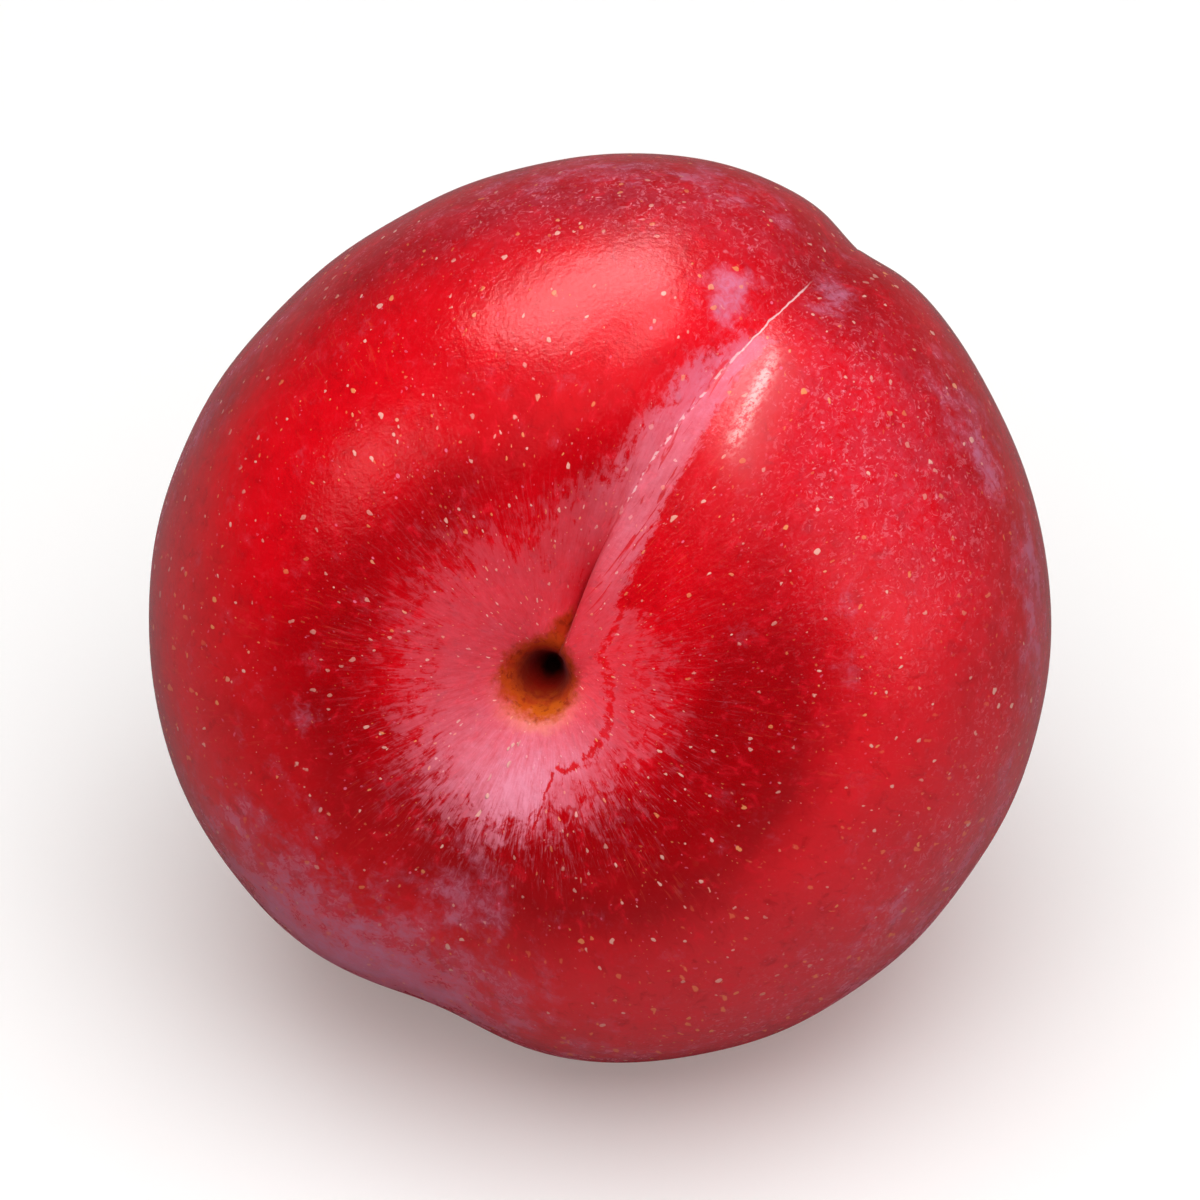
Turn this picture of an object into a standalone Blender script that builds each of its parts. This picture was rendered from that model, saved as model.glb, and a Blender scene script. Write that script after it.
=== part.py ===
"""A red plum, picked without its stalk and lying on its cheek.

A plum grows as one piece, so it is one solid: stalk cavity, stalk pit, suture, back valley and blossom end are
all shapes of the same body.  The fruit is worked out in its own frame, with the stem end at +Z and the suture
over +X, as a distance from its middle for each direction.  It is then tipped until it lies as a picked plum
does, with the stem end forward and a little up, and pressed flat at the small spot that it rests on.

Metres, +Z up.  The origin is on the resting surface, under the middle of the fruit's box.
"""

import math

import bmesh
import bpy
from mathutils import Matrix, Vector

# Driving dimensions of the fruit, in its own frame
MM = 0.001
WIDTH = 60.4 * MM  # across the cheeks
LENGTH = 57.0 * MM  # stem end to blossom end, before the cavity is sunk into it
PRESSED = 0.8 * MM  # how far the resting spot is pressed in

# The stalk cavity is a wide bowl around the stem end, with the pit of the lost stalk in its floor
BOWL_DEPTH = 5.0 * MM
BOWL_SPREAD = math.radians(24)
PIT_DEPTH = 4.0 * MM
PIT_SPREAD = math.radians(4.2)

# The suture is a groove from the cavity to the blossom end, deepest where it leaves the cavity
SUTURE_DEPTH = 0.9 * MM
SUTURE_WIDTH = 3.0 * MM
SUTURE_MOUTH_DEPTH = 1.6 * MM
SUTURE_MOUTH_WIDTH = 1.6 * MM
SUTURE_MOUTH = math.radians(22)
SUTURE_BOW = math.radians(12)  # how far it strays from a straight meridian
SUTURE_BOW_AT = math.radians(20)

# A wide shallow valley runs down the back, nearly opposite the suture, and fades before the resting spot
VALLEY_AROUND = math.radians(195)
VALLEY_DEPTH = 1.5 * MM
VALLEY_WIDTH = 6.0 * MM
VALLEY_MIDDLE = math.radians(55)
VALLEY_REACH = math.radians(50)

# The blossom end is a small dimple
BLOSSOM_DEPTH = 0.7 * MM
BLOSSOM_SPREAD = math.radians(7)

# Both grooves fade out towards the stem end, where they would meet
GROOVE_FADE = math.radians(7)

# Fuller and flatter cheeks: where around the fruit, how much, and how far each spreads
CHEEKS = (
    (math.radians(23), 0.7 * MM, math.radians(20)),
    (math.radians(78), -0.8 * MM, math.radians(35)),
    (math.radians(140), 0.4 * MM, math.radians(28)),
    (math.radians(248), 0.5 * MM, math.radians(32)),
    (math.radians(-25), -0.3 * MM, math.radians(18)),
)

# How the fruit lies: the stem end's height above level, its turn to one side, and the suture's place around it
STEM_RISE = math.radians(29.6)
STEM_TURN = math.radians(-10)
SUTURE_ROLL = math.radians(59)

# The mesh: faces around and along, and how closely they crowd to the suture and to the stem end
AROUND_FACES = 64
ALONG_FACES = 52
CROWD_TO_SUTURE = 0.5
CROWD_TO_STEM = 1.35

SKIN_COLOUR = (0.48, 0.012, 0.026, 1.0)
SKIN_ROUGHNESS = 0.36


def swell(distance, spread):
    """A smooth round hump: 1 at no distance, fading to nothing a few spreads away."""
    return math.exp(-((distance / spread) ** 2))


def turn_from(around, middle):
    """The signed angle from middle to around, between minus and plus half a turn."""
    return math.remainder(around - middle, math.tau)


def body_radius(polar):
    """An ellipse turned about the stem axis."""
    return 1 / math.hypot(
        math.sin(polar) / (WIDTH / 2),
        math.cos(polar) / (LENGTH / 2),
    )


def cheek_height(polar, around):
    """The fuller and flatter cheeks, which even out towards both ends."""
    height = sum(rise * swell(turn_from(around, middle), spread) for middle, rise, spread in CHEEKS)
    return height * math.sin(polar) ** 2


def suture_around(polar):
    """Where the suture lies at this height: it leaves the cavity to one side and comes back to the meridian."""
    share = polar / SUTURE_BOW_AT
    return SUTURE_BOW * share * math.exp(1 - share)


def groove_run(polar):
    """How far a groove is formed: not at all at the stem end, and wholly past the cavity's floor."""
    return 1 - swell(polar, GROOVE_FADE)


def suture_drop(polar, around, radius):
    mouth = swell(polar - SUTURE_MOUTH, SUTURE_MOUTH)
    depth = SUTURE_DEPTH + SUTURE_MOUTH_DEPTH * mouth
    width = SUTURE_WIDTH + SUTURE_MOUTH_WIDTH * mouth
    across = turn_from(around, suture_around(polar)) * math.sin(polar) * radius
    return depth * groove_run(polar) * swell(across, width)


def valley_drop(polar, around, radius):
    across = turn_from(around, VALLEY_AROUND) * math.sin(polar) * radius
    formed = groove_run(polar) * swell(polar - VALLEY_MIDDLE, VALLEY_REACH)
    return VALLEY_DEPTH * formed * swell(across, VALLEY_WIDTH)


def fruit_radius(polar, around):
    """The distance from the fruit's middle to its skin, in the direction that the two angles give."""
    radius = body_radius(polar) + cheek_height(polar, around)
    radius -= BOWL_DEPTH * swell(polar, BOWL_SPREAD)
    radius -= suture_drop(polar, around, radius)
    radius -= valley_drop(polar, around, radius)
    radius -= PIT_DEPTH * swell(polar, PIT_SPREAD)
    radius -= BLOSSOM_DEPTH * swell(math.pi - polar, BLOSSOM_SPREAD)
    return radius


def skin_point(direction):
    """Where a ball's vertex goes: its two angles crowd to the stem end and to the suture, and reach the skin."""
    ball_polar = direction.angle(Vector((0, 0, 1)))
    ball_around = math.atan2(direction.y, direction.x)
    polar = math.pi * (ball_polar / math.pi) ** CROWD_TO_STEM
    around = ball_around - CROWD_TO_SUTURE * math.sin(ball_around)
    flat = math.sin(polar)
    unit = Vector((flat * math.cos(around), flat * math.sin(around), math.cos(polar)))
    return unit * fruit_radius(polar, around)


def lying_pose():
    """Rolls the suture to its place, tips the stem end forward, and turns it to one side."""
    roll = Matrix.Rotation(SUTURE_ROLL, 4, "Z")
    tip = Matrix.Rotation(math.pi / 2 - STEM_RISE, 4, "X")
    turn = Matrix.Rotation(STEM_TURN, 4, "Z")
    return turn @ tip @ roll


def press_flat(shape, pose):
    """Cuts off the lowest bit of the posed fruit with a level plane, and closes it with one flat face."""
    down = (pose.inverted() @ Vector((0, 0, -1))).normalized()
    level = max(vertex.co.dot(down) for vertex in shape.verts) - PRESSED
    cut = bmesh.ops.bisect_plane(
        shape,
        geom=shape.verts[:] + shape.edges[:] + shape.faces[:],
        plane_co=down * level,
        plane_no=down,
        clear_outer=True,
    )
    rim = [part for part in cut["geom_cut"] if isinstance(part, bmesh.types.BMEdge)]
    bmesh.ops.contextual_create(shape, geom=rim)


def fruit_mesh(pose):
    shape = bmesh.new()
    bmesh.ops.create_uvsphere(
        shape,
        u_segments=AROUND_FACES,
        v_segments=ALONG_FACES,
        radius=1,
    )
    for vertex in shape.verts:
        vertex.co = skin_point(vertex.co)
    press_flat(shape, pose)
    bmesh.ops.recalc_face_normals(shape, faces=shape.faces[:])
    mesh = bpy.data.meshes.new("plum")
    shape.to_mesh(mesh)
    shape.free()
    mesh.shade_smooth()
    mesh.set_sharp_from_angle(angle=math.radians(35))
    return mesh


def skin_material():
    material = bpy.data.materials.new("plum_skin")
    material.use_nodes = True
    surface = material.node_tree.nodes["Principled BSDF"]
    surface.inputs["Base Color"].default_value = SKIN_COLOUR
    surface.inputs["Roughness"].default_value = SKIN_ROUGHNESS
    surface.inputs["Metallic"].default_value = 0
    return material


def set_on_origin(fruit, pose):
    """Places the posed fruit with the origin on its resting spot, under the middle of its box."""
    posed = [pose @ vertex.co for vertex in fruit.data.vertices]
    low = Vector(min(point[axis] for point in posed) for axis in range(3))
    high = Vector(max(point[axis] for point in posed) for axis in range(3))
    fruit.rotation_euler = pose.to_euler()
    fruit.location = (-(low.x + high.x) / 2, -(low.y + high.y) / 2, -low.z)


def make_plum():
    pose = lying_pose()
    plum = bpy.data.objects.new("plum", fruit_mesh(pose))
    plum.data.materials.append(skin_material())
    bpy.context.scene.collection.objects.link(plum)
    set_on_origin(plum, pose)


def main():
    for leftover in list(bpy.data.objects):
        bpy.data.objects.remove(leftover)
    make_plum()


main()
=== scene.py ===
"""The looks of a red plum that lies on its cheek with its stem end forward.

The skin is one closed surface.  Each of its points is a direction, given by two angles in the fruit's own
frame, times the distance of the skin from the fruit's middle in that direction.  The polar angle runs from
the stem end (0) to the blossom end (180), and the around angle turns about the stem axis from the suture.
The same two angles place everything that grows on the skin: the wax of the stalk cavity, the bloom, the
freckles and the suture line.

The fruit is worked out in millimetres and degrees.  laid_down fits it to the frame's box, in metres.
"""

import functools
import math

import bpy
import numpy as np
from mathutils import Matrix, Vector


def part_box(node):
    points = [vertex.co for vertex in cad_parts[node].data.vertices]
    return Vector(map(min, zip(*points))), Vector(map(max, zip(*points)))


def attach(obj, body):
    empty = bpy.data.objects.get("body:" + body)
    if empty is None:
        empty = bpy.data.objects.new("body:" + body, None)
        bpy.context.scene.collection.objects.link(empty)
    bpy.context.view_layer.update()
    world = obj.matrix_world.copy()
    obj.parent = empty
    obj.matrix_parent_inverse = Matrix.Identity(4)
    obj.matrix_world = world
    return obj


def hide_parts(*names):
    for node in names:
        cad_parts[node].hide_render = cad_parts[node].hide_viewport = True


MM = 0.001

# The fruit in its own frame
WIDTH = 60.4  # across the cheeks
LENGTH = 57.0  # stem end to blossom end, before the cavity is sunk into it
PRESSED = 0.8  # how far the resting spot is pressed in
ROUGH_RADIUS = 30  # the scale of the patterns that growth has drawn out

# How the fruit lies: the stem end's height above level, its turn to one side, and the suture's place around
STEM_RISE = 29.6
STEM_TURN = -10
SUTURE_ROLL = 59

# Fuller and flatter cheeks: where around the fruit, how much, and how far each spreads
CHEEKS = ((23, 0.7, 20), (78, -0.8, 35), (140, 0.4, 28), (248, 0.5, 32), (-25, -0.3, 18))

# The stalk cavity is a wide bowl round the stem end
BOWL_DEPTH = 5.0
BOWL_SPREAD = 24
CAVITY_MM_PER_DEGREE = 0.42  # how long a degree of polar angle is on its floor

# Places on a flat map of the cavity's floor: how far from the stem axis, and in which direction around it
HOLE_AT = (1.15, -178)
FUNNEL_AT = (0.45, 153)
CORK_RING_AT = (1.15, 178)
CRACK_ARC_AT = (2.4, -146)
CRACK_ARC_RADIUS = 4.25

# The hole that the stalk left, and the wider funnel round it
HOLE_DEPTH = 4.6
HOLE_RADIUS = 1.6
FUNNEL_DEPTH = 1.2
FUNNEL_SPREAD = 2.7

# The suture is a groove from the cavity to the blossom end, deeper and wider at its mouth, near the cavity
SUTURE_DEPTH = 0.8
SUTURE_WIDTH = 3.0
MOUTH_AT = 22
MOUTH_REACH = 22
MOUTH_DEPTH = 1.7
MOUTH_WIDTH = 1.6
SUTURE_BOW = 12  # how far it strays from a straight meridian
SUTURE_BOW_AT = 20

# The tight crease in the groove: deep in the cavity, a fine line after it, with a steep right wall
CREASE_DEPTH = 1.9
CREASE_AT = 12
CREASE_REACH = 9
FINE_LINE_DEPTH = 0.14
LEFT_WALL_WIDTH = 1.1
RIGHT_WALL_WIDTH = 0.3

# The edge of the right cheek: a lip that leans over the crease, then a low ridge that slants to the suture
LIP_HEIGHT = 0.9
LIP_AT = 14
LIP_REACH = 11
LIP_ASIDE = 1.3
LIP_WIDTH = 1.1
LIP_LEAN = 0.42
RIDGE_HEIGHT = 0.6
RIDGE_AT = 47
RIDGE_REACH = 12
RIDGE_ASIDE = 3.3
RIDGE_WIDTH = 1.2
RIDGE_SLANT = 0.12  # millimetres nearer the suture for each degree of polar angle

# A wide shallow valley runs down the back, nearly opposite the suture, and fades before the resting spot
VALLEY_AROUND = 195
VALLEY_DEPTH = 1.5
VALLEY_WIDTH = 6.0
VALLEY_MIDDLE = 55
VALLEY_REACH = 50

# Both grooves fade out towards the stem end, where they would meet
GROOVE_FADE = 7

# The blossom end is a small dimple
BLOSSOM_DEPTH = 0.7
BLOSSOM_SPREAD = 7

# The low ripple over the whole fruit
LONG_RIPPLE = 0.07
SHORT_RIPPLE = 0.022

# The grid of the skin, and how closely it crowds to the suture and to the stem end
COLUMNS = 448
ROWS = 220
CROWD_TO_SUTURE = 0.85
CROWD_TO_STEM = 1.5

# How far the pink wax of the cavity runs out, and its changes around the fruit: where, how much, how wide
WAX_REACH = 21.0
WAX_REACH_CHANGES = ((-10, -6.0, 13), (75, 4.5, 45), (145, 2.5, 35), (190, 8.0, 32), (240, 2.0, 40))

# Patches on the skin: the middle's polar and around angle, the strength, and the spread along and around
BLOOM_PATCHES = (
    (61, 11, 0.80, 6, 4.5),
    (73, -1, 0.75, 5, 4),
    (64, -178, 1.00, 19, 30),
    (38, -163, 0.65, 11, 9),
    (36, 137, 0.45, 3, 6),
    (78, -26, 0.60, 7, 14),
    (82, -52, 0.60, 7, 20),
    (47, -46, 0.20, 10, 15),
    (67, -94, 0.40, 10, 16),
    (57, 158, 0.60, 9, 9),
    (80, 105, 0.45, 6, 32),
    (84, -95, 0.60, 12, 30),
    (82, 32, 0.50, 9, 30),
    (78, -150, 0.50, 22, 22),
    (118, 60, 0.70, 22, 30),
    (125, -60, 0.50, 26, 34),
    (140, 170, 0.75, 24, 60),
)
# Darker red patches: partly the skin's own crimson, partly painted shade; the one in the cavity is painted
# shade.
CRIMSON_AND_SHADE_PATCHES = (
    (62, 50, 0.20, 12, 38),  # upper left
    (29, -78, 0.40, 6, 30),  # below the lip
    (36, 132, 0.22, 10, 22),  # left of the cavity
    (26, 70, 0.30, 5, 25),  # between the wax and the left cheek
    (14, 120, 0.35, 9, 55),  # in the cavity
)
# A thin bluish veil of bloom; low down to the right it is partly a painted reflection of the floor.
HAZE_AND_REFLECTION_PATCHES = (
    (60, -20, 1.00, 19, 32),  # the right cheek
    (75, 32, 0.95, 12, 32),  # over the top edge of the left cheek
    (74, -98, 1.00, 14, 36),  # low down to the right
)

# The row of corky beads lies in this direction around
BEADS_AROUND = -168.5

# A painted highlight along the ridge's crest, partly pale worn wax, and the wider painted glow round it
SCUFF_HIGHLIGHT_WIDTH = 0.55
HIGHLIGHT_GLOW_WIDTH = 1.7
HIGHLIGHT_GLOW_ASIDE = 0.5

# Roughness of the bare skin, and how much rougher wax or bloom and cork make it
BARE_ROUGHNESS = 0.19
WAX_ROUGHNESS = 0.28
CORK_ROUGHNESS = 0.75

# The stage, in metres: the floor's half side, where its glow starts and ends, and the camera
FLOOR_HALF = 3.0
GLOW_FROM = 0.05
GLOW_TO = 1.4
CAMERA_RISE = math.radians(40)
CAMERA_DISTANCE = 1.0
SEEN_WIDTH = 0.0802  # how wide a view the camera takes in at the fruit's middle
SENSOR_WIDTH = 36  # millimetres


def colour(red, green, blue):
    return (red, green, blue, 1.0)


# The skin, from its brightest red to its bloom
SCARLET = colour(0.92, 0.001, 0.008)
CRIMSON = colour(0.40, 0.0005, 0.003)
# Paler, duller red low down: partly the skin's own, partly painted light and painted reflection from the
# floor
DULL_RED_AND_FLOOR_LIGHT = colour(0.88, 0.060, 0.078)
PALE_RED = colour(0.98, 0.012, 0.03)
FIBRE = colour(0.95, 0.11, 0.06)
MOTTLE = colour(1.0, 0.27, 0.34)
# A painted glow round the crest's highlight, and the painted highlight on the crest, partly pale worn wax
HIGHLIGHT_GLOW = colour(1.0, 0.20, 0.22)
SCUFF_AND_HIGHLIGHT = colour(1.0, 0.56, 0.54)
BLOOM = colour(0.75, 0.31, 0.51)

# Freckles
CREAM = colour(1.0, 0.52, 0.43)
GOLD = colour(1.0, 0.34, 0.13)
ROSE = colour(1.0, 0.20, 0.34)
ORANGE = colour(1.0, 0.23, 0.10)

# Wax and suture line
WAX = colour(1.0, 0.32, 0.45)
LILAC = colour(0.78, 0.34, 0.54)
SEAM_PALE = colour(1.0, 0.64, 0.66)
# The seam's dark dots, also the painted shade in the crease and down its left wall
SEAM_DARK_AND_SHADE = colour(0.62, 0.008, 0.022)

# Cork and pit
OLIVE = colour(0.92, 0.30, 0.16)
OCHRE = colour(0.55, 0.095, 0.003)
RUST = colour(0.46, 0.030, 0.005)
BROWN = colour(0.20, 0.010, 0.002)
# Painted shade in the hole: maroon, then near black further in
MAROON = colour(0.26, 0.006, 0.001)
PIT_SHADE = colour(0.012, 0.001, 0.0005)

# Tints of the skin's gloss and sheen
GLOSS_TINT = colour(1.0, 0.62, 0.66)
SHEEN_TINT = colour(1.0, 0.55, 0.72)

# The paper floor: as the camera sees it, as it lights the fruit, and as the gloss mirrors it; then its glow
PAPER_SEEN = colour(0.74, 0.78, 0.78)
PAPER_LIT = colour(0.46, 0.44, 0.43)
PAPER_MIRRORED = colour(0.20, 0.17, 0.17)
GLOW_NEAR = colour(0.29, 0.245, 0.237)
GLOW_FAR = colour(0.92, 0.91, 0.905)
ROOM = colour(1, 0.98, 0.97)


# --- curves that the rest is made of ----------------------------------------------------------------------


def swell(distance, spread):
    """A smooth round hump: exp(-(distance / spread) squared)."""
    return np.exp(-((distance / spread) ** 2))


def rise_between(value, low, high):
    """0 up to low, 1 from high, and the smooth cubic 3 t^2 - 2 t^3 in between."""
    share = np.clip((value - low) / (high - low), 0, 1)
    return share * share * (3 - 2 * share)


def turn_from(around, middle):
    """The signed angle from middle to around, in degrees, between minus and plus 180."""
    return (around - middle + 180) % 360 - 180


def humps_around(around, humps):
    """The sum of humps around the fruit, each height * exp(-(turn from its middle / spread) squared)."""
    return sum(height * swell(turn_from(around, middle), spread) for middle, height, spread in humps)


def patches_on_skin(polar, around, patches):
    """One smooth cover for each patch: strength times a hump along the polar angle times a hump around."""
    return [
        strength * swell(polar - middle, along) * swell(turn_from(around, turn), wide)
        for middle, turn, strength, along, wide in patches
    ]


# --- the shape of the fruit -------------------------------------------------------------------------------


def suture_around(polar):
    """Where the suture lies, in degrees: bow t exp(1 - t) with t = polar / bow_at, which fades to nothing."""
    share = polar / SUTURE_BOW_AT
    return SUTURE_BOW * share * np.exp(1 - share)


def skin_grid():
    """Polar and around angles of the skin's points, in degrees.

    Column t turns to t - crowd sin t, counted from the suture line, so that columns crowd to it.  Row s is at
    180 s^crowd, so that rows crowd to the stem end.
    """
    share = np.linspace(0, 1, ROWS + 1)
    turn = np.arange(COLUMNS) * math.tau / COLUMNS
    polar = 180 * share**CROWD_TO_STEM
    across = np.degrees(turn - CROWD_TO_SUTURE * np.sin(turn))
    polar, across = np.meshgrid(polar, across, indexing="ij")
    return polar, across + suture_around(polar)


def across_meridian(polar, around, meridian, radius):
    """The signed distance from a meridian along the skin, in millimetres: turn * sin(polar) * radius."""
    return np.radians(turn_from(around, meridian)) * np.sin(np.radians(polar)) * radius


def across_suture(polar, around, radius):
    """The signed distance from the suture line, in millimetres: positive towards the left cheek."""
    return across_meridian(polar, around, suture_around(polar), radius)


def body_radius(polar):
    """An ellipse turned about the stem axis: 1 / length of (sin polar / a, cos polar / c)."""
    angle = np.radians(polar)
    return 1 / np.hypot(np.sin(angle) / (WIDTH / 2), np.cos(angle) / (LENGTH / 2))


def cheek_height(polar, around):
    """The fuller and flatter cheeks, times sin^2 polar so that they even out at both ends."""
    return humps_around(around, CHEEKS) * np.sin(np.radians(polar)) ** 2


def groove_run(polar):
    """How far a groove is formed: nothing at the stem end, whole past the cavity's floor."""
    return 1 - swell(polar, GROOVE_FADE)


def suture_drop(polar, across):
    """A round groove, depth * exp(-(across / width) squared), whose depth and width swell at its mouth."""
    mouth = swell(polar - MOUTH_AT, MOUTH_REACH)
    depth = SUTURE_DEPTH + MOUTH_DEPTH * mouth
    width = SUTURE_WIDTH + MOUTH_WIDTH * mouth
    return depth * groove_run(polar) * swell(across, width)


def crease_drop(polar, across):
    """The tight fold in the groove: depth * exp(-distance / width), wider to the left than to the right."""
    fine_line = rise_between(polar, 15, 30) * (1 - rise_between(polar, 70, 150))
    depth = CREASE_DEPTH * swell(polar - CREASE_AT, CREASE_REACH) + FINE_LINE_DEPTH * fine_line
    width = np.where(across > 0, LEFT_WALL_WIDTH, RIGHT_WALL_WIDTH)
    return depth * np.exp(-np.abs(across) / width)


def lip_height(polar, across):
    """The rounded edge of the right cheek: lip and ridge, each a hump along it times a hump across it."""
    lip = LIP_HEIGHT * swell(polar - LIP_AT, LIP_REACH) * swell(across + LIP_ASIDE, LIP_WIDTH)
    off_ridge = across + RIDGE_ASIDE + RIDGE_SLANT * (RIDGE_AT - polar)
    return lip + RIDGE_HEIGHT * swell(polar - RIDGE_AT, RIDGE_REACH) * swell(off_ridge, RIDGE_WIDTH)


def lip_shift(polar, across):
    """How far the lip leans over the crease, in millimetres: a hump along it times a hump across it."""
    return LIP_LEAN * swell(polar - 13, 9) * swell(across + 0.55, 0.5)


def valley_drop(polar, around, radius):
    """A round groove down the back, times a hump along it."""
    across = across_meridian(polar, around, VALLEY_AROUND, radius)
    formed = groove_run(polar) * swell(polar - VALLEY_MIDDLE, VALLEY_REACH)
    return VALLEY_DEPTH * formed * swell(across, VALLEY_WIDTH)


def pit_distance(polar, around, aside, towards):
    """Millimetres from a place on the flat map of the cavity's floor, whose polar coordinates are the angles.

    The place lies aside millimetres from the stem axis, in the direction that towards gives in degrees.
    """
    reach, turn, course = polar * CAVITY_MM_PER_DEGREE, np.radians(around), math.radians(towards)
    along = reach * np.cos(turn) - aside * math.cos(course)
    across = reach * np.sin(turn) - aside * math.sin(course)
    return np.hypot(along, across)


def pit_drop(polar, around):
    """The hole left by the stalk, depth / (1 + (distance / radius)^5), in a wider round funnel."""
    hole = pit_distance(polar, around, *HOLE_AT)
    funnel = pit_distance(polar, around, *FUNNEL_AT)
    return HOLE_DEPTH / (1 + (hole / HOLE_RADIUS) ** 5) + FUNNEL_DEPTH * swell(funnel, FUNNEL_SPREAD)


def unevenness(polar, around):
    """A low ripple that no fruit is without: a few long and a few short sine waves over the direction."""
    x, y, z = np.moveaxis(directions(polar, around), -1, 0)
    long = np.sin(7.1 * x + 2.3 * y + 1.1) + np.sin(6.3 * y - 5.2 * z + 0.4) + np.sin(8.7 * z + 4.9 * x + 2.6)
    short = np.sin(17 * x - 11 * y + 0.7) + np.sin(19 * y + 13 * z + 2.2) + np.sin(-15 * z + 16 * x + 4.0)
    past_cavity = rise_between(polar, 10, 40)
    return (LONG_RIPPLE * long + SHORT_RIPPLE * short) * past_cavity


def fruit_radius(polar, around):
    """The distance of the skin from the fruit's middle, in millimetres: body, less hollows, plus ridges."""
    radius = body_radius(polar) + cheek_height(polar, around)
    radius -= BOWL_DEPTH * swell(polar, BOWL_SPREAD)
    across = across_suture(polar, around, radius)
    radius -= suture_drop(polar, across) + crease_drop(polar, across)
    radius += lip_height(polar, across)
    radius -= valley_drop(polar, around, radius)
    radius -= pit_drop(polar, around)
    radius -= BLOSSOM_DEPTH * swell(180 - polar, BLOSSOM_SPREAD)
    return radius + unevenness(polar, around)


def directions(polar, around):
    """Unit vectors in the fruit's frame, with the stem end at +Z and the suture over +X."""
    angle, turn = np.radians(polar), np.radians(around)
    flat = np.sin(angle)
    return np.stack([flat * np.cos(turn), flat * np.sin(turn), np.cos(angle)], axis=-1)


def skin_points(polar, around):
    """Direction times radius, with the lip leant over along the around direction, in the fruit's frame."""
    radius = fruit_radius(polar, around)
    points = directions(polar, around) * radius[..., None]
    turn = np.radians(around)
    sideways = np.stack([-np.sin(turn), np.cos(turn), np.zeros_like(turn)], axis=-1)
    shift = lip_shift(polar, across_suture(polar, around, radius))
    return points + sideways * shift[..., None]


def turned(degrees, axis):
    """The 3 x 3 matrix of a turn about axis 0 (X) or 2 (Z)."""
    cos, sin = math.cos(math.radians(degrees)), math.sin(math.radians(degrees))
    first, second = [(1, 2), None, (0, 1)][axis]
    matrix = np.eye(3)
    matrix[first, first] = matrix[second, second] = cos
    matrix[first, second], matrix[second, first] = -sin, sin
    return matrix


def lying_pose():
    """Rolls the suture to its place, tips the stem end forward, and turns it to one side."""
    return turned(STEM_TURN, 2) @ turned(90 - STEM_RISE, 0) @ turned(SUTURE_ROLL, 2)


def laid_down(points, low, high):
    """Poses the points, presses the resting spot flat, and fits them to the box from low to high."""
    posed = points @ lying_pose().T
    posed[..., 2] = np.maximum(posed[..., 2] - posed[..., 2].min() - PRESSED, 0)
    flat = posed.reshape(-1, 3)
    own_low, own_high = flat.min(axis=0), flat.max(axis=0)
    scale = min((high - low) / (own_high - own_low))
    middle = (own_low + own_high) / 2
    middle[2] = own_low[2]
    ground = np.array([(low[0] + high[0]) / 2, (low[1] + high[1]) / 2, low[2]])
    return (posed - middle) * scale + ground


# --- what grows on the skin, as one number for each point -------------------------------------------------


def wax_depth(polar, around, across):
    """Millimetres inside the edge of the pink wax, in the cavity or in the groove, and negative outside.

    In the groove it lies wider to the left than to the right of the suture, narrows outwards, and ends at 59.
    """
    reach = WAX_REACH + humps_around(around, WAX_REACH_CHANGES)
    in_cavity = (reach - polar) * CAVITY_MM_PER_DEGREE
    left = 6.1 - 3.3 * rise_between(polar, 22, 34) - 1.3 * rise_between(polar, 46, 58)
    right = 2.7 - 1.4 * rise_between(polar, 25, 55)
    in_groove = np.minimum(left - across, right + across)
    in_groove = np.minimum(in_groove, (59 - polar) * 0.4)
    return np.maximum(in_cavity, in_groove)


def wax_and_light_density(polar, around, across):
    """How thickly the wax lies: most on the cavity's floor, partly as painted light, and along the suture,
    less past the crack.
    """
    # The thicker wax on the cavity's floor, which faces the light above, is partly painted light.
    floor = 0.55 * swell(polar - 20, 11) * swell(turn_from(around, 208), 52)
    start = 8 + 12 * rise_between(across, -0.2, 0.3)
    strip = (1 - rise_between(across, 1.5, 2.9)) * rise_between(polar - start, 0, 18)
    whole = 0.14 + floor + 0.20 * strip
    return whole * (1 - 0.38 * rise_between(crack_distance(polar, around, across), 0.0, 0.9))


def feathering(polar, across):
    """1 where the wax's edge breaks up into hairs, 0 along the right side of the groove, where it is torn."""
    right_of_groove = rise_between(-across, -0.5, 0.5) * (1 - rise_between(-across, 3.5, 6))
    left_of_groove = 0.75 * rise_between(polar, 26, 34) * swell(across - 4, 6)
    return np.clip(1 - right_of_groove - left_of_groove, 0, 1)


def bloom_cover(polar, around):
    """How thickly the bloom lies: the thickest of its patches."""
    return np.maximum.reduce(patches_on_skin(polar, around, BLOOM_PATCHES))


def deepening_and_shading(polar, around):
    """How far the red deepens to crimson, partly its own colour and partly painted shade: in a band round the
    cavity's shoulder, past the cheeks, in patches.

    The band is clear beside the suture on the right, and lighter at the top of the left cheek as painted
    light.
    """
    # The band round the cavity's shoulder is partly the skin's own crimson and partly painted shade.
    band = swell(polar - 31, 10) * (0.66 + 0.6 * swell(turn_from(around, -100), 62))
    clear = 1 - 0.55 * swell(turn_from(around, -14), 24)
    # Painted light: the red is kept lighter at the top of the left cheek, where the highlights lie.
    bright = 1 - 0.6 * swell(polar - 38, 8) * swell(turn_from(around, 65), 42)
    # Painted shade: darker past the widest girth, but hardly low down to the right, which is kept lighter as
    # painted floor light.
    outside = 0.55 * rise_between(polar, 58, 74) * (1 - 0.95 * swell(turn_from(around, -105), 48))
    local = outside + sum(patches_on_skin(polar, around, CRIMSON_AND_SHADE_PATCHES))
    return np.clip(0.14 + band * clear * bright + local, 0, 1)


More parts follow.
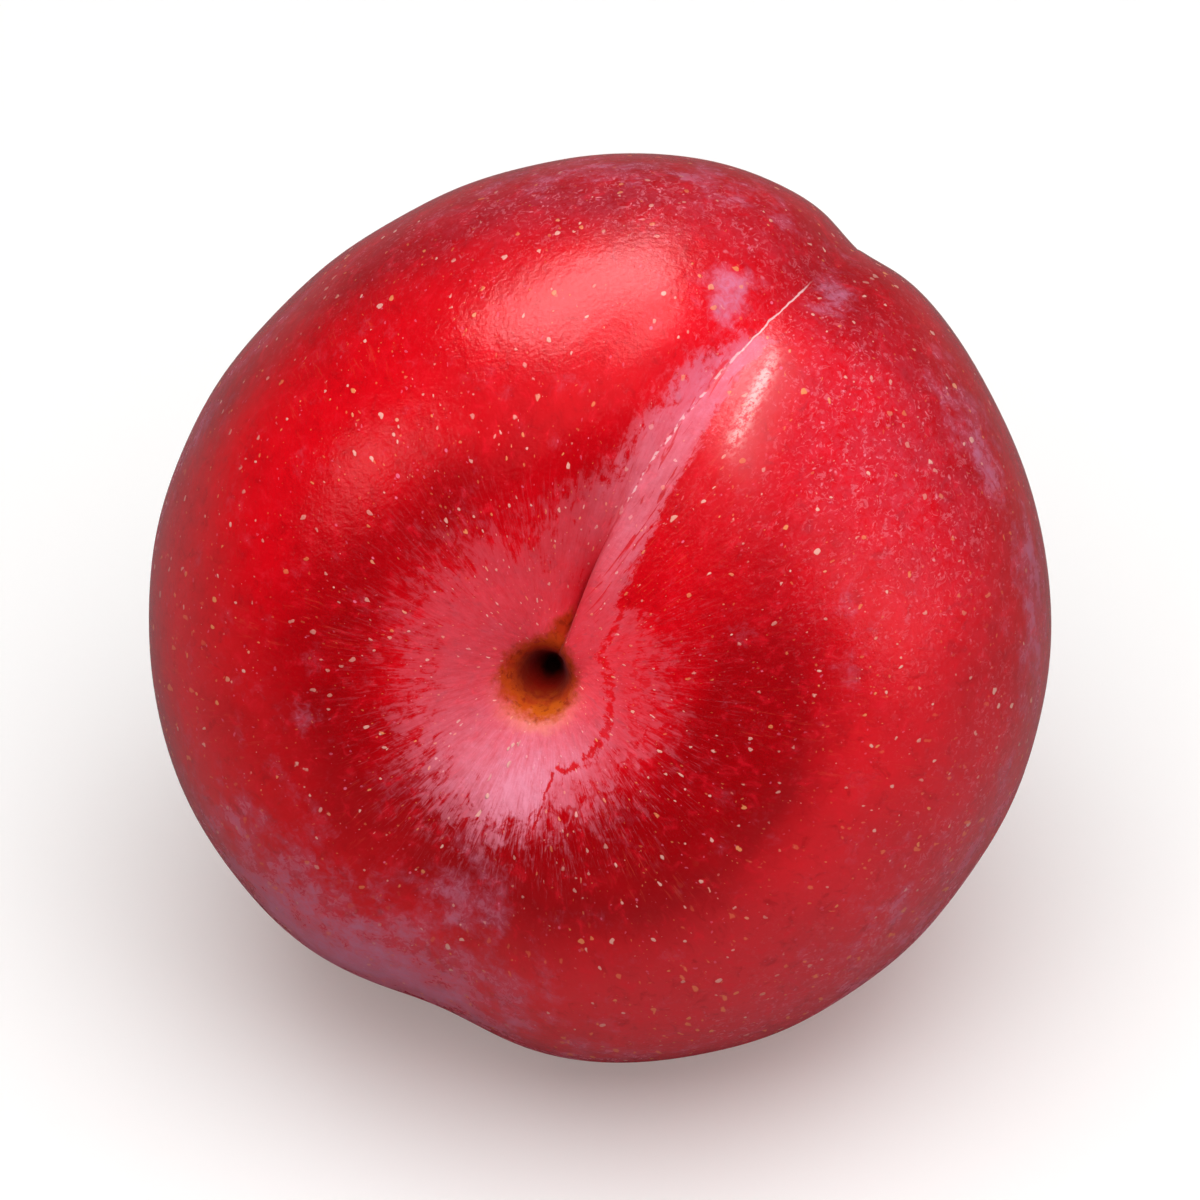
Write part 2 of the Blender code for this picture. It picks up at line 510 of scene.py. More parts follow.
def haze_and_reflection_cover(polar, around):
    """A thin bluish veil: the thickest of its patches, and a little from the widest girth on, where it is
    partly a painted reflection at the rims.
    """
    # Painted reflection at the rims, partly bloom
    rims = 0.20 * rise_between(polar, 76, 92)
    return np.maximum.reduce([rims, *patches_on_skin(polar, around, HAZE_AND_REFLECTION_PATCHES)])


def bead_distance(polar, around):
    """Millimetres from the row of small corky beads that runs from the pit towards the back valley."""
    off_row = np.radians(np.abs(turn_from(around, BEADS_AROUND))) * polar
    past_ends = np.maximum(12 - polar, 0) + np.maximum(polar - 25, 0)
    return (off_row + past_ends) * CAVITY_MM_PER_DEGREE


def crest_cover(polar, across, width):
    """A strip of a given width along the crest of the right cheek's ridge; a wider one is longer too."""
    crest = across + 2.1 + 0.124 * (55 - polar)
    longer = 3 * (width - SCUFF_HIGHLIGHT_WIDTH)
    along = rise_between(polar, 39 - longer, 43) * (1 - rise_between(polar, 52, 60 + longer))
    return along * swell(crest, width)


def ochre_distance(polar, around, across):
    """Millimetres from the middle of the corky ring round the pit, or from its tail up the crease's wall.

    It is the smaller of the two, rounded off where they meet: -0.6 ln(exp(-ring / 0.6) + exp(-tail / 0.6)).
    """
    ring = pit_distance(polar, around, *CORK_RING_AT) - 0.1
    right_of_wall, up_the_wall = np.maximum(-across - 0.1, 0), np.maximum(polar - 8, 0)
    tail = 1.9 + 1.3 * np.abs(across - 0.4) + 6 * right_of_wall + 0.30 * up_the_wall
    return -0.6 * np.logaddexp(-ring / 0.6, -tail / 0.6)


def crack_distance(polar, around, across):
    """Signed millimetres outside the crack in the wax: an arc past the pit, then the edge of the lip.

    It counts as inside where the crack has run out, on the floor of the cavity and in the groove.
    """
    bulge = 0.7 * swell(turn_from(around, -45), 22)
    past_arc = pit_distance(polar, around, *CRACK_ARC_AT) - CRACK_ARC_RADIUS - bulge
    past_lip = -across - 3.0
    return np.minimum(past_arc, past_lip) - 9 * rise_between(turn_from(around, -138), 0, -25)


def low_down(polar, around):
    """Where the skin is paler and duller, partly painted floor light and reflection, and has orange freckles:
    low down to the right, and less so low on the left.

    Each is how far the direction leans that way, cos(around - way) sin polar, faded in away from the cavity.
    """
    girth = np.sin(np.radians(polar))
    to_right = np.cos(np.radians(around + 120)) * girth
    to_left = np.cos(np.radians(around - 150)) * girth
    right = rise_between(to_right, 0.15, 0.95) * rise_between(polar, 32, 50)
    left = rise_between(to_left, 0.50, 0.95) * rise_between(polar, 44, 60)
    return np.maximum(right, 0.8 * left)


def drawn_out(polar, around, girth, climb):
    """Coordinates for patterns that growth has drawn out: (girth cos around, girth sin around, climb polar).

    They are times the fruit's rough radius, so around the widest girth their unit is about a millimetre.
    Where girth is more than sin(polar), a pattern is narrower around the fruit than along it.
    """
    turn = np.radians(around)
    flat = np.stack([girth * np.cos(turn), girth * np.sin(turn), np.radians(polar) * climb], axis=-1)
    return flat * ROUGH_RADIUS


def skin_fields(polar, around, radius):
    """Every number and vector that the skin's material reads, by name."""
    across = across_suture(polar, around, radius)
    return {
        "across": across,
        "polar": polar,
        "wax": np.clip(wax_depth(polar, around, across), -12, 12),
        "feather": feathering(polar, across),
        "frost_and_light": wax_and_light_density(polar, around, across),
        "bloom": bloom_cover(polar, around),
        "deep_and_shading": deepening_and_shading(polar, around),
        "haze_and_reflection": haze_and_reflection_cover(polar, around),
        "scuff_highlight": crest_cover(polar, across, SCUFF_HIGHLIGHT_WIDTH),
        "glow_round_highlight": crest_cover(polar, across + HIGHLIGHT_GLOW_ASIDE, HIGHLIGHT_GLOW_WIDTH),
        "hole": pit_distance(polar, around, *HOLE_AT),
        "ochre": ochre_distance(polar, around, across),
        "crack": np.clip(crack_distance(polar, around, across), -9, 9),
        "beads": bead_distance(polar, around),
        "low": low_down(polar, around),
        "under_pit": swell(turn_from(around, -150), 42),
        "grain": drawn_out(polar, around, np.sin(np.radians(polar)) ** 0.45, 0.8),
        "hair": drawn_out(polar, around, np.ones_like(polar), 0.22),
    }


# --- the mesh ---------------------------------------------------------------------------------------------


def skin_faces():
    """Quads between the rows of the grid, and a fan of triangles round the vertex at each pole."""
    inner = ROWS - 1
    index = 1 + np.arange(inner * COLUMNS).reshape(inner, COLUMNS)
    beside = np.roll(index, -1, axis=1)
    quads = np.stack([index[:-1], index[1:], beside[1:], beside[:-1]], axis=-1).reshape(-1, 4)
    stem = np.stack([np.zeros_like(index[0]), index[0], beside[0]], axis=-1)
    blossom = np.stack([np.full_like(index[0], inner * COLUMNS + 1), beside[-1], index[-1]], axis=-1)
    return quads.tolist() + stem.tolist() + blossom.tolist()


def closed_rows(grid):
    """One value for each vertex of the skin: the stem pole, the inner rows, and the blossom pole."""
    inner = grid[1:-1].reshape(-1, *grid.shape[2:])
    return np.concatenate([grid[0, :1], inner, grid[-1, :1]])


def give_field(mesh, name, values):
    """Stores one number or one vector for each vertex."""
    kind, slot = ("FLOAT", "value") if values.ndim == 1 else ("FLOAT_VECTOR", "vector")
    attribute = mesh.attributes.new(name, kind, "POINT")
    attribute.data.foreach_set(slot, values.astype(np.float32).ravel())


def fruit_skin():
    """The whole skin as one closed mesh that lies in the frame's box, with its fields."""
    polar, around = skin_grid()
    low, high = (np.array(corner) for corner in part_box("plum"))
    points = laid_down(skin_points(polar, around), low, high)
    mesh = bpy.data.meshes.new("plum_skin")
    mesh.from_pydata(closed_rows(points).tolist(), [], skin_faces())
    for name, values in skin_fields(polar, around, fruit_radius(polar, around)).items():
        give_field(mesh, name, closed_rows(values))
    mesh.materials.append(skin_material())
    mesh.shade_smooth()
    piece = bpy.data.objects.new("plum_skin", mesh)
    bpy.context.scene.collection.objects.link(piece)
    return piece


# --- wiring of materials ----------------------------------------------------------------------------------


class Wiring:
    """Adds nodes to a node tree.  Each method but add and feed gives back what its nodes put out."""

    def __init__(self, tree):
        self.tree = tree

    def add(self, kind, sockets=(), **settings):
        """One new node, with its settings and with the given sockets fed."""
        node = self.tree.nodes.new("ShaderNode" + kind)
        for name, value in settings.items():
            setattr(node, name, value)
        for name, value in dict(sockets).items():
            self.feed(node.inputs[name], value)
        return node

    def feed(self, socket, value):
        """Links another node's socket, or sets a plain value."""
        if isinstance(value, bpy.types.NodeSocket):
            self.tree.links.new(value, socket)
        else:
            socket.default_value = value

    def field(self, name, output="Fac"):
        """A number, or with output="Vector" a vector, that the mesh stores for each vertex."""
        return self.add("Attribute", attribute_name=name).outputs[output]

    def math(self, operation, first, second=0.0):
        return self.add("Math", {0: first, 1: second}, operation=operation).outputs[0]

    def sum(self, *values, clamp=False):
        total = functools.reduce(functools.partial(self.math, "ADD"), values)
        total.node.use_clamp = clamp
        return total

    def times(self, *values):
        return functools.reduce(functools.partial(self.math, "MULTIPLY"), values)

    def larger(self, *values):
        return functools.reduce(functools.partial(self.math, "MAXIMUM"), values)

    def minus(self, first, second):
        return self.math("SUBTRACT", first, second)

    def over(self, first, second):
        return self.math("DIVIDE", first, second)

    def size_of(self, value):
        """The value without its sign."""
        return self.math("ABSOLUTE", value)

    def fade(self, value, low, high):
        """0 at low, 1 at high, smooth in between; low may be the larger of the two."""
        sockets = {"Value": value, "From Min": min(low, high), "From Max": max(low, high)}
        if low > high:
            sockets.update({"To Min": 1.0, "To Max": 0.0})
        return self.add("MapRange", sockets, interpolation_type="SMOOTHSTEP").outputs["Result"]

    def blend(self, share, first, second):
        """The first colour where share is 0, the second where it is 1."""
        return self.add("Mix", {0: share, 6: first, 7: second}, data_type="RGBA").outputs[2]

    def blend_number(self, share, first, second):
        return self.add("Mix", {0: share, 2: first, 3: second}).outputs[0]

    def noise(self, vector, scale, detail=2.0, roughness=0.5, distortion=0.0):
        """A smooth noise about 0.5, whose lumps are about 1 / scale of the vector's units wide."""
        sockets = {
            "Vector": vector,
            "Scale": scale,
            "Detail": detail,
            "Roughness": roughness,
            "Distortion": distortion,
        }
        return self.add("TexNoise", sockets).outputs[0]

    def sway(self, noise, amount):
        """A noise that swings about zero instead, over the given amount."""
        return self.times(self.minus(noise, 0.5), amount)

    def worms(self, vector, scale, thickness, distortion):
        """1 along the winding lines where a noise crosses its middle, 0 away from them."""
        crossing = self.size_of(self.minus(self.noise(vector, scale, 2.0, 0.6, distortion), 0.5))
        return self.fade(crossing, thickness, thickness * 0.3)

    def wobbled(self, vector, amount, scale):
        """The vector, moved by a smooth noise of its own in each direction."""
        noise = self.add("TexNoise", {"Vector": vector, "Scale": scale, "Detail": 1.0}).outputs["Color"]
        push = self.add("VectorMath", {0: noise, 1: (0.5, 0.5, 0.5)}, operation="SUBTRACT").outputs[0]
        push = self.stretched(push, (amount, amount, amount))
        return self.add("VectorMath", {0: vector, 1: push}).outputs[0]

    def moved(self, vector, offset):
        """The vector moved aside, so that the same kind of noise gives a pattern of its own."""
        return self.add("Mapping", {"Vector": vector, "Location": offset}).outputs[0]

    def stretched(self, vector, factor):
        return self.add("VectorMath", {0: vector, 1: factor}, operation="MULTIPLY").outputs[0]

    def freckles(self, vector, scale, size, seed, soft):
        """Round dots of many sizes, and a random number for each dot.

        A dot is where the distance to the nearest of many scattered points is less than size r^2, with a soft
        edge.  Both r and the number given back are random for each point.
        """
        shifted = self.moved(vector, (seed, seed * 0.7, seed * 1.3))
        cells = self.add("TexVoronoi", {"Vector": shifted, "Scale": scale})
        chance = self.add("SeparateColor", {"Color": cells.outputs["Color"]})
        share = chance.outputs["Red"]
        reach = self.times(share, share, size)
        return self.fade(self.minus(reach, cells.outputs["Distance"]), 0.0, soft), chance.outputs["Green"]


# --- the skin's material ----------------------------------------------------------------------------------

# Each function takes the wiring w first.  place is the point in millimetres.  grain and hair are coordinates
# that growth has drawn out along the meridians, a little and far.  paint is the colour that is painted over.


def red_of_the_skin(w, place):
    """Scarlet that deepens to crimson, partly painted shade, where the field says and in slow clouds, and
    paler and duller low down, partly painted light and reflection from the floor.
    """
    clouds = w.sway(w.noise(place, 0.16, detail=3, roughness=0.55), 0.95)
    red = w.blend(w.sum(w.field("deep_and_shading"), clouds, clamp=True), SCARLET, CRIMSON)
    return w.blend(w.times(w.field("low"), 0.5), red, DULL_RED_AND_FLOOR_LIGHT)


def mottled(w, paint, grain, hair):
    """Soft darker and paler clouds, faint fibres along the meridians, and pale dashes where it is hazy."""
    clouds = w.noise(grain, 0.75, detail=4, roughness=0.62, distortion=0.6)
    paint = w.blend(w.times(w.fade(clouds, 0.52, 0.78), 0.45), paint, CRIMSON)
    paint = w.blend(w.times(w.fade(clouds, 0.50, 0.24), 0.45), paint, PALE_RED)
    fibres = w.fade(w.noise(hair, 2.2, detail=3, roughness=0.7, distortion=0.7), 0.56, 0.72)
    where = w.fade(w.noise(w.moved(grain, (31.0, 7.0, 5.0)), 0.09), 0.45, 0.65)
    paint = w.blend(w.times(fibres, where, 0.22), paint, FIBRE)
    return w.blend(pale_dashes(w, grain), paint, MOTTLE)


def pale_dashes(w, grain):
    """Short upright and level dashes and broken winding lines, which come in crowds and where the veil and
    its painted reflection lie.
    """
    bent = w.wobbled(grain, 0.5, 1.6)
    upright, _ = w.freckles(w.stretched(bent, (1.0, 1.0, 0.60)), scale=2.9, size=0.36, seed=90, soft=0.26)
    level, _ = w.freckles(w.stretched(bent, (0.55, 0.55, 1.0)), scale=2.6, size=0.36, seed=110, soft=0.26)
    aside = w.moved(grain, (4.0, 9.0, 2.0))
    lines = w.worms(grain, 1.5, thickness=0.060, distortion=0.8)
    broken = w.fade(w.noise(aside, 1.9), 0.47, 0.60)
    dashes = w.larger(upright, level, w.times(lines, broken, 0.40))
    crowd = w.fade(w.noise(aside, 0.35), 0.35, 0.60)
    return w.times(dashes, w.times(w.sum(w.field("haze_and_reflection"), 0.03), w.sum(w.times(crowd, 0.6), 0.4)))


def bloom_on_skin(w, place, grain):
    """The bloom's soft patches, clouded and finely mottled, over the thin veil, which is partly painted
    reflection.
    """
    large = w.fade(w.noise(place, 0.40, detail=3, roughness=0.6), 0.25, 0.75)
    small = w.noise(w.moved(grain, (6.0, 1.0, 4.0)), 1.5, detail=4, roughness=0.7, distortion=1.0)
    small = w.fade(small, 0.25, 0.75)
    mixed = w.minus(w.sum(w.times(large, 0.60), w.times(small, 0.24)), 0.42)
    patchy = w.fade(w.sum(w.field("bloom"), mixed), 0.12, 1.0)
    clouded = w.sum(w.times(small, 0.34), w.sum(w.times(large, 0.22), 0.26))
    density = w.times(patchy, clouded, w.sum(w.times(w.field("bloom"), 0.75), 0.62))
    haze_and_reflection = w.times(w.field("haze_and_reflection"), w.sum(w.times(small, 0.13), w.times(large, 0.06)))
    return w.larger(density, haze_and_reflection)


def rubbed_and_highlit(w, paint, grain):
    """A painted glow on the right cheek's ridge, and a painted highlight along its crest, partly pale worn
    wax.
    """
    paint = w.blend(w.times(w.field("glow_round_highlight"), 0.40), paint, HIGHLIGHT_GLOW)
    broken_up = w.fade(w.noise(grain, 2.6, detail=3, roughness=0.7), 0.38, 0.60)
    return w.blend(w.times(w.field("scuff_highlight"), broken_up, 0.8), paint, SCUFF_AND_HIGHLIGHT)


def freckled(w, paint, grain, place):
    """Fine dust, cream and gold dots, rosy ones near the wax, and orange commas low down and to the right.

    Gives the paint and the cover of the dots, which stand up a little.
    """
    bent = w.wobbled(grain, 0.55, 1.6)
    crowd = w.sum(0.45, w.times(w.fade(w.noise(place, 0.11), 0.38, 0.62), 0.55))
    dust, dust_tint = w.freckles(bent, scale=2.2, size=0.30, seed=20, soft=0.10)
    dots, dot_tint = w.freckles(bent, scale=1.10, size=0.28, seed=0, soft=0.07)
    large, _ = w.freckles(bent, scale=0.50, size=0.11, seed=40, soft=0.03)
    rosy, _ = w.freckles(grain, scale=0.80, size=0.17, seed=60, soft=0.05)
    commas, _ = w.freckles(w.stretched(bent, (1.0, 1.0, 0.45)), scale=1.25, size=0.32, seed=80, soft=0.12)
    near_wax = w.times(w.fade(w.field("wax"), -6.5, -3.5), w.fade(w.field("wax"), -0.2, -1.2))
    dust_colour = w.blend(w.fade(dust_tint, 0.4, 0.6), ROSE, GOLD)
    dot_colour = w.blend(w.fade(dot_tint, 0.55, 0.75), CREAM, GOLD)
    paint = w.blend(w.times(dust, crowd, 0.35), paint, dust_colour)
    paint = w.blend(w.times(dots, crowd, 0.85), paint, dot_colour)
    paint = w.blend(w.times(large, 0.85), paint, CREAM)
    paint = w.blend(w.times(rosy, near_wax, 0.7), paint, ROSE)
    paint = w.blend(w.times(commas, w.field("low"), 0.90), paint, ORANGE)
    return paint, w.larger(dots, large)


def wax_cover(w, hair, grain):
    """The wax comes in as clumps and hairs, which crowd together over the width of its edge.

    The edge is wide where it feathers and narrow where it is torn.  A point is covered where the pattern, a
    mix of noises between 0 and 1, is larger than the share of the edge's width that still lies ahead.
    """
    feather = w.field("feather")
    width = w.sum(1.0, w.times(feather, 6.0))
    share = w.over(w.field("wax"), width)
    ahead = w.minus(0.60, w.times(share, 0.95))
    hairs = w.fade(w.noise(hair, 2.0, detail=3, roughness=0.65, distortion=0.6), 0.30, 0.70)
    clumps = w.noise(w.moved(grain, (5.0, 5.0, 1.0)), 0.55, detail=4, roughness=0.6, distortion=1.2)
    clumps = w.fade(clumps, 0.28, 0.72)
    crumbs = w.fade(w.noise(grain, 1.8, detail=3, roughness=0.7, distortion=0.8), 0.30, 0.70)
    fine = w.blend_number(w.times(feather, 0.6), crumbs, hairs)
    pattern = w.sum(w.times(fine, 0.45), w.times(clumps, 0.55))
    cover = w.times(w.fade(w.minus(pattern, ahead), -0.14, 0.30), w.fade(share, -0.75, 0.70))
    strands = w.noise(w.moved(hair, (1.0, 3.0, 3.0)), 2.8, detail=3, roughness=0.7, distortion=0.4)
    strands = w.fade(strands, 0.54, 0.66)
    outer = w.times(w.fade(share, -0.65, -0.1), w.fade(share, 0.8, 0.2))
    return w.larger(cover, w.times(strands, outer, w.times(feather, 0.30)))


def wax_thickness(w, hair, grain):
    """How opaque the wax is: the field's density, clouded and streaked, less what is gone from it."""
    streaks = w.noise(w.moved(hair, (9.0, 4.0, 2.0)), 2.4, detail=3, roughness=0.7)
    cloud = w.noise(w.moved(grain, (3.0, 8.0, 5.0)), 0.8, detail=4, roughness=0.65, distortion=0.5)
    density = w.times(w.field("frost_and_light"), w.sum(w.times(streaks, 0.9), w.times(cloud, 1.3), -0.02))
    return w.times(density, w.minus(1.0, wax_gone(w, hair, grain)))


def wax_gone(w, hair, grain):
    """Where the red shows through the wax: strokes out from the pit, the crack, and a net past it."""
    strokes = w.noise(w.moved(hair, (2.0, 7.0, 9.0)), 1.3, roughness=0.6, distortion=0.8)
    strokes = w.fade(strokes, 0.60, 0.68)
    out_from_pit = w.sum(w.times(w.fade(w.field("wax"), 3.6, 0.8), 0.75), 0.15)
    wander = w.noise(w.moved(grain, (8.0, 3.0, 1.0)), 0.8, detail=4, roughness=0.75, distortion=0.5)
    crack_side = w.sum(w.field("crack"), w.sway(wander, 1.5))
    unhealed = w.fade(w.noise(grain, 1.0), 0.36, 0.48)
    crack = w.times(w.fade(w.size_of(crack_side), 0.34, 0.16), unhealed)
    net = w.noise(w.moved(grain, (1.0, 8.0, 8.0)), 0.9, detail=3, roughness=0.65, distortion=0.6)
    past_crack = w.times(w.fade(net, 0.50, 0.62), w.fade(crack_side, 0.5, 1.4), 0.75)
    return w.larger(w.times(strokes, out_from_pit), past_crack, w.times(crack, 0.95))


def suture_marks(w, grain):
    """The suture line: a crease at the pit, a dotted seam, then a thin thread.  Gives pale cover, and dark
    cover that is the seam's dots and painted shade in the crease and down its left wall.
    """
    polar = w.field("polar")
    off_line = w.size_of(w.sum(w.field("across"), w.sway(w.noise(grain, 0.9), 0.40)))
    dots = w.noise(w.moved(grain, (1.0, 2.0, 3.0)), 2.0, detail=1)
    seam = w.times(w.fade(off_line, 0.13, 0.05), w.times(w.fade(polar, 25, 31), w.fade(polar, 60, 52)))
    thread = w.times(w.fade(off_line, 0.085, 0.03), w.times(w.fade(polar, 49, 55), w.fade(polar, 75, 70)))
    pale = w.larger(w.times(seam, w.fade(dots, 0.53, 0.58), 0.8), thread)
    # Painted shade in the crease near the pit, and down the crease's left wall under the lip
    crease = w.times(w.fade(off_line, 0.14, 0.03), w.times(w.fade(polar, 31, 25), w.fade(polar, 6, 9)))
    left_wall = w.times(w.fade(w.field("across"), 1.9, 0.0), w.fade(w.field("across"), -0.12, 0.0))
    shade = w.times(left_wall, 0.60, w.times(w.fade(polar, 26, 17), w.fade(polar, 8, 12)))
    dark = w.times(seam, w.fade(dots, 0.47, 0.42), 0.8)
    return pale, w.larger(dark, w.larger(w.times(crease, 0.7), shade))


def corky_beads(w, grain):
    """Small round beads of cork, scattered along the row that the field gives."""
    beads, _ = w.freckles(w.wobbled(grain, 0.3, 1.0), scale=1.30, size=0.74, seed=130, soft=0.12)
    return w.times(beads, w.fade(w.field("beads"), 0.50, 0.30))


def pit_paint(w, paint, place):
    """The corky ring in ochre with rusty specks and an olive fringe, and painted shade in the hole, maroon
    and then near black.

    Gives the paint and the cover of the cork.
    """
    fray = w.minus(w.noise(place, 1.3, detail=4, roughness=0.65), 0.5)
    ring = w.sum(w.field("ochre"), w.times(fray, 1.5))
    hole = w.sum(w.field("hole"), w.times(fray, 0.7))
    specks = w.fade(w.noise(w.moved(place, (3.0, 1.0, 7.0)), 1.9, detail=3, roughness=0.7), 0.52, 0.64)
    shades = w.fade(w.noise(place, 0.8, detail=3), 0.40, 0.60)
    yellow = w.times(w.field("under_pit"), w.sum(0.45, w.times(shades, 0.55)))
    cork = w.blend(w.sum(yellow, w.times(shades, 0.25), clamp=True), RUST, OCHRE)
    cork = w.blend(w.times(specks, 0.55), cork, BROWN)
    cork = w.blend(w.times(w.fade(hole, 2.3, 1.6), 0.8), cork, BROWN)
    fringe = w.times(w.fade(ring, 3.9, 2.8), w.times(w.field("under_pit"), 0.5))
    corky = w.fade(ring, 3.15, 2.25)
    paint = w.blend(fringe, paint, OLIVE)
    paint = w.blend(corky, paint, cork)
    # Painted shade in the hole, maroon and then near black
    paint = w.blend(w.fade(hole, 1.8, 1.3), paint, MAROON)
    return w.blend(w.fade(hole, 1.4, 0.5), paint, PIT_SHADE), corky


def skin_bump(w, place, grain, dots):
    """Height in millimetres: a fine grain, a slow orange peel, and freckles that stand up a little."""
    fine = w.times(w.noise(place, 3.4, detail=3, roughness=0.6), 0.034)
    peel = w.times(w.noise(grain, 0.8), 0.05)
    height = w.sum(fine, peel, w.times(dots, 0.014))
    return w.add("Bump", {"Strength": 1.0, "Distance": MM, "Height": height}).outputs["Normal"]


def skin_material():
    """Waxy red skin: its paints from the red up to the cork of the pit, then its gloss and its bump."""
    material = bpy.data.materials.new("plum_skin")
    material.use_nodes = True
    w = Wiring(material.node_tree)
    shader = material.node_tree.nodes["Principled BSDF"]
    place = w.stretched(w.add("TexCoord").outputs["Object"], (1 / MM, 1 / MM, 1 / MM))
    grain = w.field("grain", "Vector")
    hair = w.field("hair", "Vector")

    paint = mottled(w, red_of_the_skin(w, place), grain, hair)
    bloom = bloom_on_skin(w, place, grain)
    # Painted glow and painted highlight on the ridge's crest
    paint = rubbed_and_highlit(w, w.blend(w.times(bloom, 0.75), paint, BLOOM), grain)
    paint, dots = freckled(w, paint, grain, place)
    wax = wax_cover(w, hair, grain)
    wax_colour = w.blend(w.fade(w.field("polar"), 34, 50), WAX, LILAC)
    paint = w.blend(w.times(wax, wax_thickness(w, hair, grain)), paint, wax_colour)
    pale, dark = suture_marks(w, grain)
    paint = w.blend(w.times(pale, 0.8), paint, SEAM_PALE)
    # The dark cover is the seam's dots and painted shade in the crease
    paint = w.blend(w.times(dark, 0.85), paint, SEAM_DARK_AND_SHADE)
    beads = corky_beads(w, grain)
    paint = w.blend(w.times(beads, 0.88), paint, CREAM)
    paint, cork = pit_paint(w, paint, place)
    w.feed(shader.inputs["Base Color"], paint)

    dulled = w.times(w.larger(w.times(wax, 0.8), bloom), WAX_ROUGHNESS)
    w.feed(shader.inputs["Roughness"], w.sum(BARE_ROUGHNESS, dulled, w.times(cork, CORK_ROUGHNESS)))
    w.feed(shader.inputs["Normal"], skin_bump(w, place, grain, w.larger(dots, w.times(beads, 4.0))))
    shader.inputs["IOR"].default_value = 1.34
    shader.inputs["Specular Tint"].default_value = GLOSS_TINT
    shader.inputs["Sheen Weight"].default_value = 0.06
    shader.inputs["Sheen Roughness"].default_value = 0.35
    shader.inputs["Sheen Tint"].default_value = SHEEN_TINT
    return material


# --- the stage --------------------------------------------------------------------------------------------


def floor_material():
    """White paper that gives little back to the fruit and its gloss.

    It glows where it is looked at, a little near the fruit and more far off, where it would turn grey.
    """
    material = bpy.data.materials.new("pale_floor")
    material.use_nodes = True
    w = Wiring(material.node_tree)
    shader = material.node_tree.nodes["Principled BSDF"]
    ray = w.add("LightPath")
    seen, mirrored = ray.outputs["Is Camera Ray"], ray.outputs["Is Glossy Ray"]
    paper = w.blend(mirrored, w.blend(seen, PAPER_LIT, PAPER_SEEN), PAPER_MIRRORED)
    place = w.add("TexCoord").outputs["Object"]
    from_middle = w.add("VectorMath", {0: place}, operation="LENGTH").outputs["Value"]
    glow = w.blend(w.fade(from_middle, GLOW_FROM, GLOW_TO), GLOW_NEAR, GLOW_FAR)
    w.feed(shader.inputs["Base Color"], paper)
    w.feed(shader.inputs["Emission Color"], glow)
    w.feed(shader.inputs["Emission Strength"], seen)
    shader.inputs["Roughness"].default_value = 0.8
    shader.inputs["Specular IOR Level"].default_value = 0.1
    return material


def floor():
    """A level square at the height of the ground."""
    half = FLOOR_HALF
    corners = [(-half, -half, 0), (half, -half, 0), (half, half, 0), (-half, half, 0)]
    mesh = bpy.data.meshes.new("floor")
    mesh.from_pydata(corners, [], [(0, 1, 2, 3)])
    mesh.materials.append(floor_material())
    piece = bpy.data.objects.new("floor", mesh)
    bpy.context.scene.collection.objects.link(piece)


def middle_of_fruit():
    low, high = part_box("plum")
    return (low + high) / 2


def softbox(name, direction, along, distance, length, width, power):
    """A soft panel lamp that faces the fruit, with its length turned to lie along the given direction.

    Its distance from the fruit, its length and its width are in metres, and its power is in watts.
    """
    back = Vector(direction).normalized()
    length_way = (Vector(along) - Vector(along).dot(back) * back).normalized()
    width_way = back.cross(length_way)
    light = bpy.data.lights.new(name, "AREA")
    light.shape = "RECTANGLE"
    light.size, light.size_y = length, width
    light.energy = power
    lamp = bpy.data.objects.new(name, light)
    lamp.location = middle_of_fruit() + back * distance
    lamp.rotation_euler = Matrix((length_way, width_way, back)).transposed().to_euler()
    lamp.visible_camera = False
    bpy.context.scene.collection.objects.link(lamp)
    return lamp


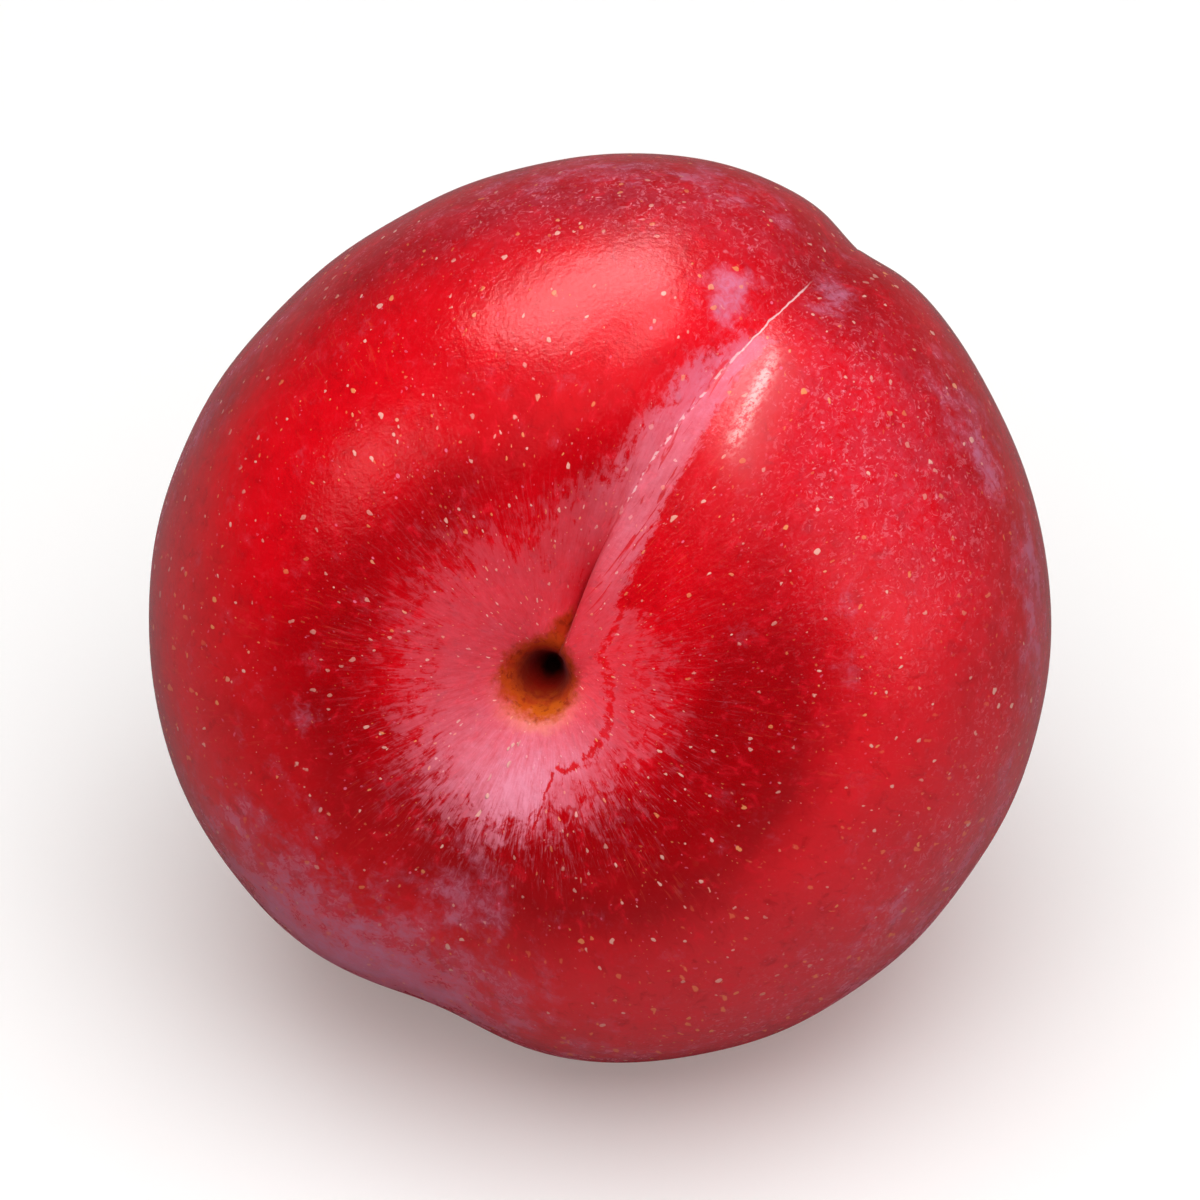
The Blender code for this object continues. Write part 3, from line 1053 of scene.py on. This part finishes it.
def studio_light():
    """Two soft panels, a large one above and a small one beside, light the fruit and don't show in its gloss.

    Four more only draw the highlights on its skin.
    """
    lights = (
        softbox("lamp_above", (0.03, -0.24, 0.97), (1, 0, 0), 1.0, 1.2, 1.2, 15.0),
        softbox("lamp_beside", (0.80, -0.58, -0.02), (0.58, 0.80, 0), 0.9, 0.4, 0.3, 0.7),
    )
    highlights = (
        softbox("glint_main", (-0.11, 0.48, 0.87), (0.85, 0.45, -0.1), 0.8, 0.64, 0.34, 7.3),
        softbox("glint_lip", (0.264, 0.15, 0.95), (0.2, -0.98, 0.06), 0.9, 0.34, 0.30, 2.2),
        softbox("glint_left", (-0.765, -0.098, 0.636), (-0.14, 0.99, 0.0), 0.9, 0.36, 0.24, 1.0),
        softbox("glint_right", (0.91, -0.29, 0.30), (-0.40, -0.40, 0.82), 0.9, 0.66, 0.36, 1.3),
    )
    for lamp in lights:
        lamp.visible_glossy = False
    for lamp in highlights:
        lamp.visible_diffuse = False


def room():
    """Nearly white all round where it is seen, and only a faint light on the fruit."""
    world = bpy.data.worlds.new("room")
    world.use_nodes = True
    w = Wiring(world.node_tree)
    background = world.node_tree.nodes["Background"]
    background.inputs["Color"].default_value = ROOM
    seen = w.add("LightPath").outputs["Is Camera Ray"]
    w.feed(background.inputs["Strength"], w.sum(0.06, w.times(seen, 0.94)))
    bpy.context.scene.world = world


def camera():
    """Looks at the middle of the fruit from the front and above."""
    target = middle_of_fruit()
    view = bpy.data.cameras.new("camera")
    view.sensor_width = SENSOR_WIDTH
    view.lens = SENSOR_WIDTH * CAMERA_DISTANCE / SEEN_WIDTH
    eye = bpy.data.objects.new("camera", view)
    eye.location = target + Vector((0, -math.cos(CAMERA_RISE), math.sin(CAMERA_RISE))) * CAMERA_DISTANCE
    eye.rotation_euler = (target - eye.location).to_track_quat("-Z", "Y").to_euler()
    bpy.context.scene.collection.objects.link(eye)
    bpy.context.scene.camera = eye


# --- putting it together ----------------------------------------------------------------------------------

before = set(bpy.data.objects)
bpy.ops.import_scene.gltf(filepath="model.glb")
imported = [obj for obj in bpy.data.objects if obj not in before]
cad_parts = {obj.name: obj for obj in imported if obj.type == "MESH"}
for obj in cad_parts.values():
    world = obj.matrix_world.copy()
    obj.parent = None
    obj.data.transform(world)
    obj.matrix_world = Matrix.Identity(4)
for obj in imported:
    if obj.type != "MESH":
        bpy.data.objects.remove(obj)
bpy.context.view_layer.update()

skin = fruit_skin()
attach(skin, "root")
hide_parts("plum")

floor()
studio_light()
room()
camera()
bpy.context.scene.view_settings.view_transform = "Standard"
